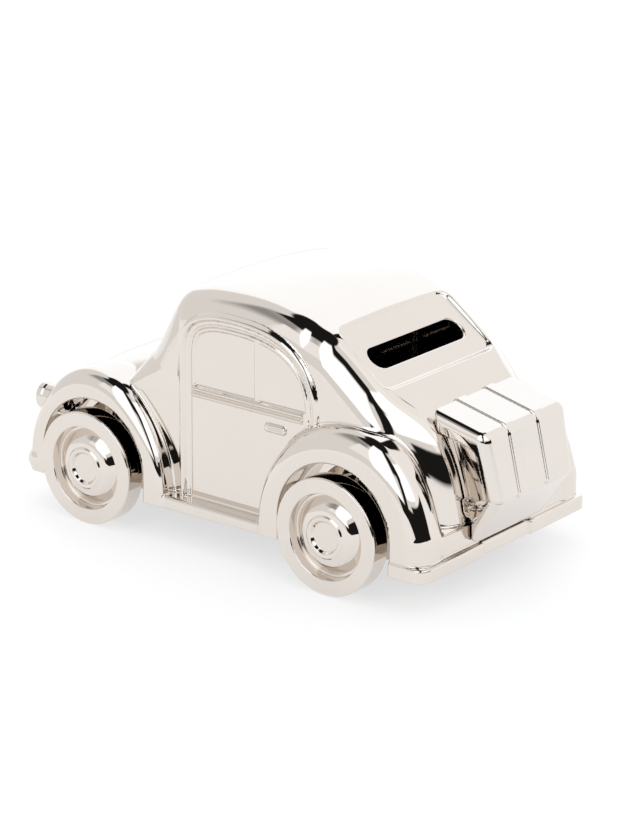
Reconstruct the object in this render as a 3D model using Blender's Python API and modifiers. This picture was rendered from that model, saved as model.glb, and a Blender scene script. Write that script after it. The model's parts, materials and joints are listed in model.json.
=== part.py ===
"""A plated die-cast toy car: hollow saloon body that takes coins through a slot
in its rear window, a luggage trunk on the tail, four wheels on two axles, a
pull-back spring motor on the rear axle and a base plate with a coin plug.

Frame: +X is the car's front, +Y its left side, +Z up; the origin is the centre
of the footprint on the ground. Lengths below are millimetres.
"""

import math

import bmesh
import bpy
from mathutils import Matrix, Vector

MM = 0.001

# ---- driving dimensions -------------------------------------------------
GAP = 0.3  # running or fitting gap between neighbouring pieces
WALL = 2.3  # casting wall
AXLE_Z = 15.0
FRONT_X, REAR_X = 45.1, -33.1
WHEEL_R = 15.0
WHEEL_IN, WHEEL_OUT = 28.75, 37.75
AXLE_R, AXLE_HALF = 1.5, 35.2
ARCH_R, ARCH_Z = 17.15, 15.57
WELL_Y = 27.4  # outer face of the wheel well's inner wall
CAVITY_Y = 25.4  # inner face of that wall
SIDE_Y = 29.7  # door plane
FENDER_Y = 34.8  # flat face of the fenders
FLOOR_Z = 8.7  # lower rim of the casting
BOARD_Z = 12.0  # top of the running board and of the skirt
PLATE_Z0, PLATE_Z1 = 9.3, 11.3
PLATE_SCREWS = [(58.0, 15.0), (58.0, -15.0), (-50.4, 17.0), (-50.4, -17.0)]
PLUG_X, PLUG_HOLE_R = 8.0, 13.0
SLOT_L, SLOT_W = 36.6, 6.5
SLOT_AT = (-32.3, 55.7)
TRUNK_Y = 16.4
TRUNK_SCREW_Y, TRUNK_SCREW_Z = 8.0, 27.0
LAMP_Y, LAMP_Z, LAMP_R = 29.0, 28.3, 3.8

# Gear train of the spring motor
MODULE = 0.5
Z_AXLE, Z_IDLER, Z_PINION, Z_SPRING = 12, 28, 10, 32
IDLER_DIR = math.radians(50.0)
SPRING_DIR = math.radians(165.0)
C1 = MODULE * (Z_AXLE + Z_IDLER) / 2
C2 = MODULE * (Z_PINION + Z_SPRING) / 2
IDLER_AT = (REAR_X + C1 * math.cos(IDLER_DIR), AXLE_Z + C1 * math.sin(IDLER_DIR))
SPRING_AT = (
    IDLER_AT[0] + C2 * math.cos(SPRING_DIR),
    IDLER_AT[1] + C2 * math.sin(SPRING_DIR),
)
CASE_X0, CASE_X1 = -47.4, -17.2
CASE_Z0, CASE_Z1 = 11.8, 36.4
CASE_Y = 12.0

# Centre line of the body from nose to tail: x, top z, half width, edge radius
STATIONS = [
    (66.0, 25.0, 23.5, 6.0),
    (65.4, 29.5, 25.0, 7.0),
    (62.0, 34.0, 27.5, 8.0),
    (55.0, 37.8, 29.2, 9.0),
    (47.0, 41.0, 29.7, 9.5),
    (40.0, 43.9, 29.7, 9.5),
    (35.0, 46.4, 29.7, 9.5),
    (32.6, 48.8, 29.7, 9.0),
    (29.5, 54.0, 29.7, 8.6),
    (26.5, 59.6, 29.7, 8.4),
    (23.5, 63.2, 29.7, 8.2),
    (19.0, 65.8, 29.7, 8.0),
    (13.0, 67.3, 29.7, 8.0),
    (5.0, 68.4, 29.7, 8.0),
    (-3.0, 68.4, 29.7, 8.0),
    (-10.0, 67.5, 29.7, 8.0),
    (-16.0, 65.9, 29.7, 8.0),
    (-20.0, 64.3, 29.7, 7.9),
    (-23.4, 62.4, 29.7, 7.8),
    (-31.8, 56.1, 29.7, 7.8),
    (-40.2, 49.7, 29.6, 8.0),
    (-45.0, 47.0, 28.4, 8.6),
    (-49.0, 44.2, 27.0, 9.4),
    (-52.0, 40.6, 26.0, 9.6),
    (-54.6, 35.6, 25.2, 9.2),
    (-56.6, 29.0, 24.6, 8.6),
    (-57.8, 22.0, 24.2, 7.0),
    (-58.3, 16.0, 24.0, 3.5),
]
CROWN = 1.2


# ---- scene and materials -------------------------------------------------
for old in list(bpy.data.objects):
    bpy.data.objects.remove(old, do_unlink=True)


def collection(name):
    c = bpy.data.collections.new(name)
    bpy.context.scene.collection.children.link(c)
    return c


PARTS = collection("pull_back_car")
CUTTERS = collection("cutters")
CUTTERS.hide_render = True


def material(name, colour, roughness, metallic):
    m = bpy.data.materials.new(name)
    m.use_nodes = True
    b = m.node_tree.nodes["Principled BSDF"]
    b.inputs["Base Color"].default_value = (*colour, 1.0)
    b.inputs["Roughness"].default_value = roughness
    b.inputs["Metallic"].default_value = metallic
    m.diffuse_color = (*colour, 1.0)
    return m


# ---- small modelling helpers ---------------------------------------------
def add(name, mesh, helper=False, at=(0, 0, 0), look=None):
    obj = bpy.data.objects.new(name, mesh)
    obj.location = Vector(at) * MM
    (CUTTERS if helper else PARTS).objects.link(obj)
    if helper:
        obj.hide_render = True
        obj.display_type = "WIRE"
    if look is not None:
        mesh.materials.clear()
        mesh.materials.append(look)
        mesh.shade_smooth()
        mesh.set_sharp_from_angle(angle=math.radians(32))
    return obj


def finish(bm, name):
    bmesh.ops.recalc_face_normals(bm, faces=bm.faces)
    mesh = bpy.data.meshes.new(name)
    bm.to_mesh(mesh)
    bm.free()
    return mesh


def block(name, x, y, z, helper=True, at=(0, 0, 0), look=None, cut=0.0):
    """A box between the given (low, high) pairs; cut bevels its edges."""
    bm = bmesh.new()
    bmesh.ops.create_cube(bm, size=1.0)
    size = [(p[1] - p[0]) * MM for p in (x, y, z)]
    mid = [(p[0] + p[1]) / 2 - o for p, o in zip((x, y, z), at)]
    bmesh.ops.scale(bm, vec=size, verts=bm.verts)
    bmesh.ops.translate(bm, vec=Vector(mid) * MM, verts=bm.verts)
    if cut:
        bmesh.ops.bevel(bm, geom=bm.edges[:], offset=cut * MM, segments=2, affect="EDGES", profile=0.5)
    return add(name, finish(bm, name), helper, at, look)


TURN = {
    "Z": Matrix.Identity(4),
    "Y": Matrix.Rotation(-math.pi / 2, 4, "X"),
    "-Y": Matrix.Rotation(math.pi / 2, 4, "X"),
    "X": Matrix.Rotation(math.pi / 2, 4, "Y"),
    "-Z": Matrix.Rotation(math.pi, 4, "X"),
}


def rod(name, r, span, at, axis="Y", sides=32, helper=True, look=None):
    """A plain cylinder along an axis; span is (low, high) from the point at."""
    bm = bmesh.new()
    bmesh.ops.create_cone(
        bm, cap_ends=True, segments=sides, radius1=r * MM, radius2=r * MM, depth=(span[1] - span[0]) * MM
    )
    bmesh.ops.translate(bm, vec=(0, 0, (span[0] + span[1]) / 2 * MM), verts=bm.verts)
    bmesh.ops.transform(bm, matrix=TURN[axis], verts=bm.verts)
    return add(name, finish(bm, name), helper, at, look)


def turned(name, profile, at, axis="Y", steps=36, helper=False, look=None):
    """A turned piece. The (radius, height) profile runs down its outer side."""
    mesh = bpy.data.meshes.new(name)
    closed = profile[0][0] > 0 and profile[-1][0] > 0
    n = len(profile)
    edges = [(i, i + 1) for i in range(n - 1)] + ([(n - 1, 0)] if closed else [])
    mesh.from_pydata([(r * MM, 0, h * MM) for r, h in profile], edges, [])
    obj = add(name, mesh, helper, at)
    screw = obj.modifiers.new("turn", "SCREW")
    screw.axis = "Z"
    screw.steps = screw.render_steps = steps
    screw.use_merge_vertices = True
    screw.merge_threshold = 0.00001
    screw.use_smooth_shade = True
    # bake the turning, so that the piece can be cut and joined
    bpy.context.view_layer.update()
    baked = bpy.data.meshes.new_from_object(obj.evaluated_get(bpy.context.evaluated_depsgraph_get()))
    bpy.data.objects.remove(obj, do_unlink=True)
    bm = bmesh.new()
    bm.from_mesh(baked)
    bmesh.ops.remove_doubles(bm, verts=bm.verts, dist=0.000005)
    bmesh.ops.transform(bm, matrix=TURN[axis], verts=bm.verts)
    return add(name, finish(bm, name), helper, at, look)


def plate(name, outline, half, at=(0, 0, 0), plane="XZ", helper=True, look=None, soften=0.0, segments=3):
    """A flat outline, filled and extruded by half its thickness each way.
    plane XZ puts the outline in a vertical plane, XY in a level one."""
    curve = bpy.data.curves.new(name, "CURVE")
    curve.dimensions = "2D"
    curve.fill_mode = "BOTH"
    curve.extrude = half * MM
    spline = curve.splines.new("POLY")
    spline.points.add(len(outline) - 1)
    for point, (u, v) in zip(spline.points, outline):
        point.co = (u * MM, v * MM, 0, 1)
    spline.use_cyclic_u = True
    obj = bpy.data.objects.new(name + "_curve", curve)
    CUTTERS.objects.link(obj)
    if plane == "XZ":
        obj.rotation_euler = (math.pi / 2, 0, 0)
    elif plane == "YZ":
        obj.rotation_euler = (math.pi / 2, 0, math.pi / 2)
    bpy.context.view_layer.update()
    mesh = bpy.data.meshes.new_from_object(obj.evaluated_get(bpy.context.evaluated_depsgraph_get()))
    mesh.transform(obj.matrix_world.to_3x3().to_4x4())
    bpy.data.objects.remove(obj, do_unlink=True)
    bm = bmesh.new()
    bm.from_mesh(mesh)
    bmesh.ops.remove_doubles(bm, verts=bm.verts, dist=0.000005)
    made = add(name, finish(bm, name), helper, at, look)
    if soften:
        bevel = made.modifiers.new("soften", "BEVEL")
        bevel.width = soften * MM
        bevel.segments = segments
        bevel.limit_method = "ANGLE"
        bevel.angle_limit = math.radians(50)
    return made


def combine(obj, other, how, name=None):
    mod = obj.modifiers.new(name or other.name, "BOOLEAN")
    mod.operation = how
    mod.solver = "EXACT"
    mod.object = other
    return obj


def join(obj, *others):
    for other in others:
        combine(obj, other, "UNION")
    return obj


def cut(obj, *others):
    for other in others:
        combine(obj, other, "DIFFERENCE")
    return obj


def smooth_line(points, parts=3, closed=False):
    """Points along a Catmull-Rom curve through the given (u, v) points."""
    out = []
    n = len(points)
    last = n if closed else n - 1
    for i in range(last):
        p = [points[(i + k) % n] if closed else points[max(0, min(n - 1, i + k))] for k in (-1, 0, 1, 2)]
        for j in range(parts):
            t = j / parts
            out.append(
                tuple(
                    0.5
                    * (
                        2 * p[1][a]
                        + (p[2][a] - p[0][a]) * t
                        + (2 * p[0][a] - 5 * p[1][a] + 4 * p[2][a] - p[3][a]) * t * t
                        + (3 * p[1][a] - p[0][a] - 3 * p[2][a] + p[3][a]) * t**3
                    )
                    for a in (0, 1)
                )
            )
    return out if closed else out + [points[-1]]


def arc(cx, cz, r, start, end, n):
    return [
        (cx + r * math.cos(math.radians(start + (end - start) * i / n)), cz + r * math.sin(math.radians(start + (end - start) * i / n)))
        for i in range(n + 1)
    ]


# ---- the casting: a loft along the car -------------------------------------
def cross_section(x, top, half, radius, bottom):
    """One ring across the car: flat bottom, upright sides, rounded edges and a
    slightly crowned top."""
    radius = min(radius, half * 0.8, (top - bottom) * 0.8)
    ring = [(0.0, bottom), (half * 0.5, bottom), (half, bottom), (half, bottom + (top - bottom - radius) * 0.5)]
    for i in range(6):
        a = math.radians(90 * i / 5)
        y = half - radius + radius * math.cos(a)
        z = top - radius + radius * math.sin(a)
        ring.append((y, z - CROWN * (y / half) ** 2 * math.sin(a)))
    ring += [((half - radius) * 0.5, top - CROWN * ((half - radius) * 0.5 / half) ** 2), (0.0, top)]
    return [(x, y, z) for y, z in ring] + [(x, -y, z) for y, z in reversed(ring[1:-1])]


def loft(name, rings, helper=True):
    n = len(rings[0])
    bm = bmesh.new()
    rows = [[bm.verts.new(Vector(p) * MM) for p in ring] for ring in rings]
    for a, b in zip(rows, rows[1:]):
        for i in range(n):
            bm.faces.new((a[i], a[(i + 1) % n], b[(i + 1) % n], b[i]))
    bm.faces.new(rows[0][::-1])
    bm.faces.new(rows[-1])
    return add(name, finish(bm, name), helper)


def tail_line(depth):
    """The tail's centre line moved outwards by depth, top to bottom."""
    out = []
    for i in range(20, len(STATIONS)):
        x, z = STATIONS[i][:2]
        before, after = STATIONS[i - 1], STATIONS[min(len(STATIONS) - 1, i + 1)]
        dx, dz = after[0] - before[0], after[1] - before[1]
        length = math.hypot(dx, dz)
        out.append((x + dz / length * depth, z - dx / length * depth))
    return out


def cavity_rings():
    rings = []
    for i, (x, z, half, radius) in enumerate(STATIONS):
        before = STATIONS[max(0, i - 1)]
        after = STATIONS[min(len(STATIONS) - 1, i + 1)]
        dx, dz = after[0] - before[0], after[1] - before[1]
        length = math.hypot(dx, dz)
        # the line runs rearwards; its inward side is below it
        px, pz = x - dz / length * WALL, z + dx / length * WALL
        wide = CAVITY_Y if px > 24 or px < -12 else WELL_Y
        inner = min(half - WALL, wide)
        rings.append((px, pz - 0.2, inner, max(radius - WALL, 2.0)))
    rings = [r for r in rings if -56.0 < r[0] < 63.5]
    return [cross_section(x, z, half, radius, FLOOR_Z - 3) for x, z, half, radius in rings]


PLATED = material("nickel_plated_casting", (0.91, 0.89, 0.86), 0.06, 1.0)
PLATED_2 = material("nickel_plated_trunk", (0.90, 0.88, 0.85), 0.06, 1.0)
PLATED_3 = material("nickel_plated_wheel", (0.89, 0.86, 0.82), 0.07, 1.0)
PLATED_4 = material("nickel_plated_lamp", (0.92, 0.90, 0.88), 0.05, 1.0)
STEEL = material("bright_steel", (0.62, 0.62, 0.62), 0.22, 1.0)
SCREW_STEEL = material("zinc_screw", (0.50, 0.50, 0.52), 0.3, 1.0)
BLACK = material("black_plastic", (0.03, 0.03, 0.035), 0.45, 0.0)
WHITE = material("white_acetal", (0.85, 0.84, 0.80), 0.4, 0.0)
BRASS = material("brass", (0.80, 0.60, 0.28), 0.25, 1.0)
SPRING = material("spring_steel", (0.20, 0.22, 0.27), 0.25, 1.0)
RUBBER = material("grey_rubber", (0.22, 0.22, 0.23), 0.7, 0.0)

body = loft("body_shell", [cross_section(x, z, h, r, FLOOR_Z) for x, z, h, r in STATIONS], helper=False)
body.data.materials.append(PLATED)

# Fenders: an arched outline, thick across the car, with rounded edges
REAR_FENDER = smooth_line(
    [(-9.6, 8.9), (-9.7, 16.0), (-10.8, 24.0), (-14.5, 32.0), (-21.0, 38.3), (-29.0, 41.3), (-38.5, 42.0),
     (-46.5, 39.4), (-53.2, 33.4), (-58.0, 26.0), (-59.6, 19.0), (-59.2, 8.9)], 2)
FRONT_FENDER = smooth_line(
    [(20.6, 8.9), (21.0, 15.0), (23.6, 22.5), (28.0, 30.4), (34.4, 36.8), (42.0, 39.8), (50.0, 39.4),
     (57.5, 35.6), (63.0, 29.0), (66.2, 20.5), (66.6, 8.9)], 2)


def fender(name, arch, sign, soft):
    """A loft across the car of one arched outline, drawn in at both edges."""
    normals = []
    for i in range(len(arch)):
        (x0, z0), (x1, z1) = arch[max(0, i - 1)], arch[min(len(arch) - 1, i + 1)]
        turn = 1 if arch[0][0] > arch[-1][0] else -1
        length = math.hypot(x1 - x0, z1 - z0)
        normals.append((-turn * (z1 - z0) / length, turn * (x1 - x0) / length))
    rings = []
    for y, draw in ((22.6, 0.55), (23.4, 0.2), (25.0, 0.0), (FENDER_Y - soft, 0.0), (FENDER_Y - soft * 0.45, 0.17), (FENDER_Y - soft * 0.12, 0.52), (FENDER_Y, 1.0)):
        ring = []
        for i, (x, z) in enumerate(arch):
            nx, nz = normals[i]
            level = i in (0, len(arch) - 1)
            ring.append((x + nx * draw * soft, sign * y, z if level else z + nz * draw * soft))
        rings.append(ring)
    return loft(name, rings)


for side, sign in (("left", 1), ("right", -1)):
    rear = fender(f"rear_fender_{side}", REAR_FENDER, sign, 4.6)
    front = fender(f"front_fender_{side}", FRONT_FENDER, sign, 3.4)
    board = plate(
        f"running_board_{side}",
        [(sign * y, z) for y, z in ((26.0, FLOOR_Z + 0.05), (33.9, FLOOR_Z + 0.05), (34.3, 9.2), (34.3, 11.2), (33.6, BOARD_Z), (26.0, BOARD_Z))][::sign],
        26.0,
        (5.5, 0, 0),
        plane="YZ",
    )
    join(body, rear, front, board)

SKIRT = [(-44.0, 34.6), (-56.6, 34.6), (-59.0, 33.2), (-60.4, 30.0), (-60.9, 12.0), (-60.2, 10.6), (-60.4, 0.0)]
SKIRT += [(x, -y) for x, y in reversed(SKIRT[:-1])]
skirt = plate("rear_bumper", SKIRT, (BOARD_Z - FLOOR_Z) / 2 - 0.02, (0, 0, (BOARD_Z + FLOOR_Z) / 2), plane="XY", soften=0.5, segments=1)
apron = block("rear_apron", (-59.0, -44.0), (-31.5, 31.5), (FLOOR_Z + 0.1, 17.8), cut=1.5)
NOSE = [(50.0, 34.2), (62.0, 34.2), (66.6, 31.5), (68.5, 26.0), (69.8, 12.0), (69.8, 0.0)]
NOSE += [(x, -y) for x, y in reversed(NOSE[:-1])]
bumper = plate("front_bumper", NOSE, 2.7, (0, 0, 11.7), plane="XY", soften=1.6, segments=2)
join(body, skirt, apron, bumper)

# Door frame moulding, belt rail and handle, raised on the side
DOOR_OUT = smooth_line([(19.3, 11.5), (19.3, 30.0), (19.2, 49.0), (17.6, 56.2), (13.0, 60.3), (5.0, 61.6), (-4.0, 61.3),
                        (-12.0, 59.8), (-18.4, 56.4), (-22.9, 51.2), (-24.9, 44.6), (-25.1, 34.0), (-25.1, 11.5)], 1)
DOOR_IN = smooth_line([(16.3, 12.6), (16.3, 30.0), (16.2, 47.0), (15.0, 53.0), (11.8, 56.2), (5.0, 57.4), (-4.0, 57.0),
                       (-11.0, 55.6), (-16.4, 52.6), (-19.8, 48.4), (-21.2, 43.0), (-21.3, 34.0), (-21.3, 12.6)], 1)
for side, sign in (("left", 1), ("right", -1)):
    frame = plate(f"door_frame_{side}", DOOR_OUT, 1.3, (0, sign * (SIDE_Y - 0.6), 0))
    inside = plate(f"door_panel_{side}", DOOR_IN, 1.0, (0, sign * (SIDE_Y + 1.05), 0))
    belt = block(f"belt_rail_{side}", (-21.0, 14.2), sorted((sign * (SIDE_Y - 1.0), sign * (SIDE_Y + 0.7))), (39.0, 41.2))
    handle = block(f"door_handle_{side}", (-15.1, -8.1), sorted((sign * (SIDE_Y - 1.0), sign * (SIDE_Y + 0.8))), (34.8, 37.0), cut=0.6)
    join(body, frame)
    cut(body, inside)
    join(body, belt, handle)

# Wheel wells, and the slots that the axles drop in through
for end, x in (("front", FRONT_X), ("rear", REAR_X)):
    for side, sign in (("left", 1), ("right", -1)):
        well = rod(f"wheel_well_{end}_{side}", ARCH_R, (WELL_Y, 45.0) if sign > 0 else (-45.0, -WELL_Y), (x, 0, ARCH_Z), sides=36)
        below = block(f"well_mouth_{end}_{side}", (x - ARCH_R + 0.35, x + ARCH_R - 0.35), sorted((sign * WELL_Y, sign * 45.0)), (0.0, ARCH_Z - 2.0))
        cut(body, well, below)

cavity = loft("cavity", cavity_rings())
cut(body, cavity)

for end, x in (("front", FRONT_X), ("rear", REAR_X)):
    notch = block(f"axle_slot_{end}", (x - 2.1, x + 2.1), (-30.0, 30.0), (2.0, AXLE_Z))
    eye = rod(f"axle_eye_{end}", 2.1, (-30.0, 30.0), (x, 0, AXLE_Z), sides=16)
    cut(body, notch, eye)

# The coin slot, square to the sloping rear window
slope = math.atan2(STATIONS[18][1] - STATIONS[20][1], STATIONS[18][0] - STATIONS[20][0])
hole = [(u, v) for u, v in
        [( -SLOT_W / 2 * math.cos(math.radians(a)), SLOT_L / 2 - SLOT_W / 2 + SLOT_W / 2 * math.sin(math.radians(a))) for a in range(0, 181, 30)]
        + [(SLOT_W / 2 * math.cos(math.radians(a)), -SLOT_L / 2 + SLOT_W / 2 - SLOT_W / 2 * math.sin(math.radians(a))) for a in range(0, 181, 30)]]
coin_slot = plate("coin_slot", hole, 7.0, (0, 0, 0), plane="XY")
coin_slot.rotation_euler = (0, -slope, 0)
coin_slot.location = Vector((SLOT_AT[0], 0, SLOT_AT[1])) * MM
cut(body, coin_slot)

# Posts for the base screws, and pads for the trunk screws
for i, (x, y) in enumerate(PLATE_SCREWS):
    top = 34.4 if x > 0 else 39.0
    post = rod(f"post_{i}", 3.1, (13.7, top), (x, y, 0), axis="Z", sides=20)
    pilot = rod(f"pilot_{i}", 1.55, (5.0, 23.0), (x, y, 0), axis="Z", sides=16)
    join(body, post)
    cut(body, pilot)
for side, sign in (("left", 1), ("right", -1)):
    y = sign * TRUNK_SCREW_Y
    pad = rod(f"trunk_pad_{side}", 3.6, (-57.0, -52.6), (0, y, TRUNK_SCREW_Z), axis="X", sides=20)
    hole = rod(f"trunk_hole_{side}", 1.6, (-62.0, -48.0), (0, y, TRUNK_SCREW_Z), axis="X", sides=16)
    join(body, pad)
    cut(body, hole)

# Seats for the head lamps
for side, sign in (("left", 1), ("right", -1)):
    seat = rod(f"lamp_seat_{side}", LAMP_R + GAP, (57.6, 80.0), (0, sign * LAMP_Y, LAMP_Z), axis="X", sides=32)
    cut(body, seat)

# ---- luggage trunk ---------------------------------------------------------
front_edge = [p for p in tail_line(0.4) if 19.0 < p[1] < 46.0]
trunk_outline = [(front_edge[0][0], 45.6), (-63.8, 42.5), (-65.7, 41.0), (-69.2, 25.8), (-61.3, 13.4), (-59.4, 13.4), (-59.4, 18.4)]
trunk_outline += list(reversed([p for p in front_edge if p[1] < 44.9]))
trunk = plate("luggage_trunk", trunk_outline, TRUNK_Y, (0, 0, 0), helper=False, look=PLATED_2, soften=1.6, segments=2)
hollow = [(-40.0, 42.6), (-63.2, 39.6), (-66.6, 26.4), (-61.6, 18.6), (-40.0, 18.6)]
cut(trunk, plate("trunk_hollow", hollow, TRUNK_Y - 2.0, (0, 0, 0)))
for i, sign in enumerate((1, -1)):
    y = sign * 5.6
    strap = plate(f"strap_{i}", [(-51.2, 45.3), (-64.3, 42.6), (-66.6, 40.9), (-69.75, 26.4), (-67.4, 25.6), (-63.5, 40.2), (-51.2, 43.2)], 1.7, (0, y, 0))
    boss = rod(f"trunk_boss_{i}", 3.0, (-67.6, -58.1), (0, sign * TRUNK_SCREW_Y, TRUNK_SCREW_Z), axis="X", sides=20)
    join(trunk, strap, boss)
for i, sign in enumerate((1, -1)):
    cut(trunk, rod(f"trunk_pilot_{i}", 1.55, (-65.6, -50.0), (0, sign * TRUNK_SCREW_Y, TRUNK_SCREW_Z), axis="X", sides=16))

# ---- head lamps ------------------------------------------------------------
lamp_profile = [(0.0, 9.2), (1.6, 9.0), (2.7, 8.5), (3.0, 8.2), (3.5, 8.4), (LAMP_R, 8.0), (LAMP_R, 6.8), (3.6, 6.3), (3.5, 1.2), (2.6, 0.0), (0.0, 0.0)]
for side, sign in (("left", 1), ("right", -1)):
    turned(f"headlamp_{side}", lamp_profile, (58.0, sign * LAMP_Y, LAMP_Z), axis="X", steps=18, look=PLATED_4)

# ---- wheels, axles and bushes ------------------------------------------------
WIDE = WHEEL_OUT - WHEEL_IN
TYRE_BACK = 4.2  # the tyre starts this far out from the hub's inner end
wheel_profile = [
    (0.0, WIDE - 0.15), (4.2, WIDE - 0.15), (4.8, WIDE + 0.3), (6.4, WIDE + 0.2), (8.5, WIDE - 0.8), (9.9, WIDE - 2.2), (10.6, WIDE - 2.3),
    (11.0, WIDE - 0.3), (11.6, WIDE), (14.5, WIDE), (WHEEL_R, WIDE - 0.5), (WHEEL_R, TYRE_BACK + 0.5), (14.5, TYRE_BACK), (12.0, TYRE_BACK),
    (11.6, TYRE_BACK + 0.7), (4.6, TYRE_BACK + 0.7), (4.2, 0.0),
    (AXLE_R + GAP, 0.0), (AXLE_R + GAP, AXLE_HALF - WHEEL_IN + GAP), (0.0, AXLE_HALF - WHEEL_IN + GAP),
]
for end, x in (("front", FRONT_X), ("rear", REAR_X)):
    for side, sign in (("left", 1), ("right", -1)):
        turned(f"wheel_{end}_{side}", wheel_profile, (x, sign * WHEEL_IN, AXLE_Z), axis="Y" if sign > 0 else "-Y", steps=32, look=PLATED_3)
    turned(f"{end}_axle", [(0.0, AXLE_HALF), (AXLE_R - 0.3, AXLE_HALF), (AXLE_R, AXLE_HALF - 0.4), (AXLE_R, -AXLE_HALF + 0.4), (AXLE_R - 0.3, -AXLE_HALF), (0.0, -AXLE_HALF)],
           (x, 0, AXLE_Z), axis="Y", steps=20, look=STEEL)
    for side, sign in (("left", 1), ("right", -1)):
        y0 = 21.2
        turned(f"{end}_bush_{side}", [(3.5, 3.5), (3.5, 0.0), (AXLE_R + GAP, 0.0), (AXLE_R + GAP, 3.5)],
               (x, sign * y0 if sign > 0 else -y0, AXLE_Z), axis="Y" if sign > 0 else "-Y", steps=20, look=BRASS)

# ---- base plate --------------------------------------------------------------
side_line = [(62.0, 17.0), (60.4, 21.6), (54.0, 24.6), (24.0, 24.9), (21.2, 26.9), (-10.0, 26.9), (-12.6, 24.9), (-47.0, 24.6), (-52.0, 22.6), (-55.3, 20.4)]
plan = side_line + [(x, -y) for x, y in reversed(side_line)]
base = plate("base_plate", plan[::-1], (PLATE_Z1 - PLATE_Z0) / 2, (0, 0, (PLATE_Z0 + PLATE_Z1) / 2), plane="XY", helper=False, look=BLACK)
for i, (x, y) in enumerate(PLATE_SCREWS):
    cup = rod(f"cup_{i}", 4.3, (PLATE_Z0 + 0.5, 13.4), (x, y, 0), axis="Z", sides=16)
    join(base, cup)
for end, x in (("front", FRONT_X), ("rear", REAR_X)):
    for side, sign in (("left", 1), ("right", -1)):
        y = sorted((sign * 21.3, sign * 24.7))
        stand = block(f"stand_{end}_{side}", (x - 5.6, x + 5.6), y, (PLATE_Z0 + 0.5, AXLE_Z))
        round_top = rod(f"stand_top_{end}_{side}", 5.58, y, (x, 0, AXLE_Z), sides=20)
        join(base, stand, round_top)
for end, x in (("front", FRONT_X), ("rear", REAR_X)):
    cut(base, rod(f"bush_bore_{end}", 3.5 + GAP, (-27.0, 27.0), (x, 0, AXLE_Z), sides=16))
for i, (x, y) in enumerate(PLATE_SCREWS):
    cut(base, rod(f"head_bore_{i}", 3.1, (5.0, 11.4), (x, y, 0), axis="Z", sides=20), rod(f"shank_bore_{i}", 1.65, (8.0, 16.0), (x, y, 0), axis="Z", sides=16))
cut(base, rod("plug_bore", PLUG_HOLE_R, (5.0, 16.0), (PLUG_X, 0, 0), axis="Z", sides=28), rod("plug_flange_bore", PLUG_HOLE_R + 2.5, (5.0, 10.5), (PLUG_X, 0, 0), axis="Z", sides=28))
cut(base, block("gear_pocket", (REAR_X - 4.6, REAR_X + 4.6), (3.4, 7.6), (10.3, 14.0)))
MOTOR_SCREWS = [(CASE_X1 + 3.2, 4.5), (CASE_X0 - 3.2, -4.5)]
for i, (x, y) in enumerate(MOTOR_SCREWS):
    cut(base, rod(f"motor_head_bore_{i}", 2.6, (5.0, 10.6), (x, y, 0), axis="Z", sides=20), rod(f"motor_shank_bore_{i}", 1.3, (8.0, 16.0), (x, y, 0), axis="Z", sides=16))

# Rubber plug that lets the coins out
turned("coin_plug", [(0.0, 10.3), (9.5, 10.3), (10.4, 11.4), (10.4, 16.0), (12.0, 16.0), (PLUG_HOLE_R - GAP, 15.2), (PLUG_HOLE_R - GAP, 10.2), (PLUG_HOLE_R + 2.2, 10.2), (PLUG_HOLE_R + 2.2, 9.5), (14.6, PLATE_Z0), (0.0, PLATE_Z0)],
       (PLUG_X, 0, 0), axis="Z", steps=28, look=RUBBER)


# ---- screws --------------------------------------------------------------------
def screw(name, at, axis, head_r, head_h, shank_r, length):
    """Pan-head screw. Its head's underside is at the point, the shank runs on
    along the axis and the head stands behind it."""
    profile = [(0.0, length), (shank_r * 0.5, length - 0.1), (shank_r, length - 1.2), (shank_r, 0.0), (head_r, 0.0), (head_r, -head_h + 0.5), (head_r - 0.6, -head_h), (0.9, -head_h), (0.8, -head_h + 0.6), (0.0, -head_h + 0.6)]
    return turned(name, profile, at, axis=axis, steps=12, look=SCREW_STEEL)


NAMES = ["base_screw_front_left", "base_screw_front_right", "base_screw_rear_left", "base_screw_rear_right"]
for name, (x, y) in zip(NAMES, PLATE_SCREWS):
    screw(name, (x, y, 11.1), "Z", 2.7, 1.5, 1.25, 10.0)
for name, (x, y) in zip(["motor_screw_front", "motor_screw_rear"], MOTOR_SCREWS):
    screw(name, (x, y, 10.3), "Z", 2.2, 0.8, 1.0, 4.6)
for name, sign in (("trunk_screw_left", 1), ("trunk_screw_right", -1)):
    obj = screw(name, (-52.2, sign * TRUNK_SCREW_Y, TRUNK_SCREW_Z), "X", 2.5, 1.5, 1.25, 11.0)
    obj.data.transform(Matrix.Rotation(math.pi, 4, "Z"))

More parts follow.
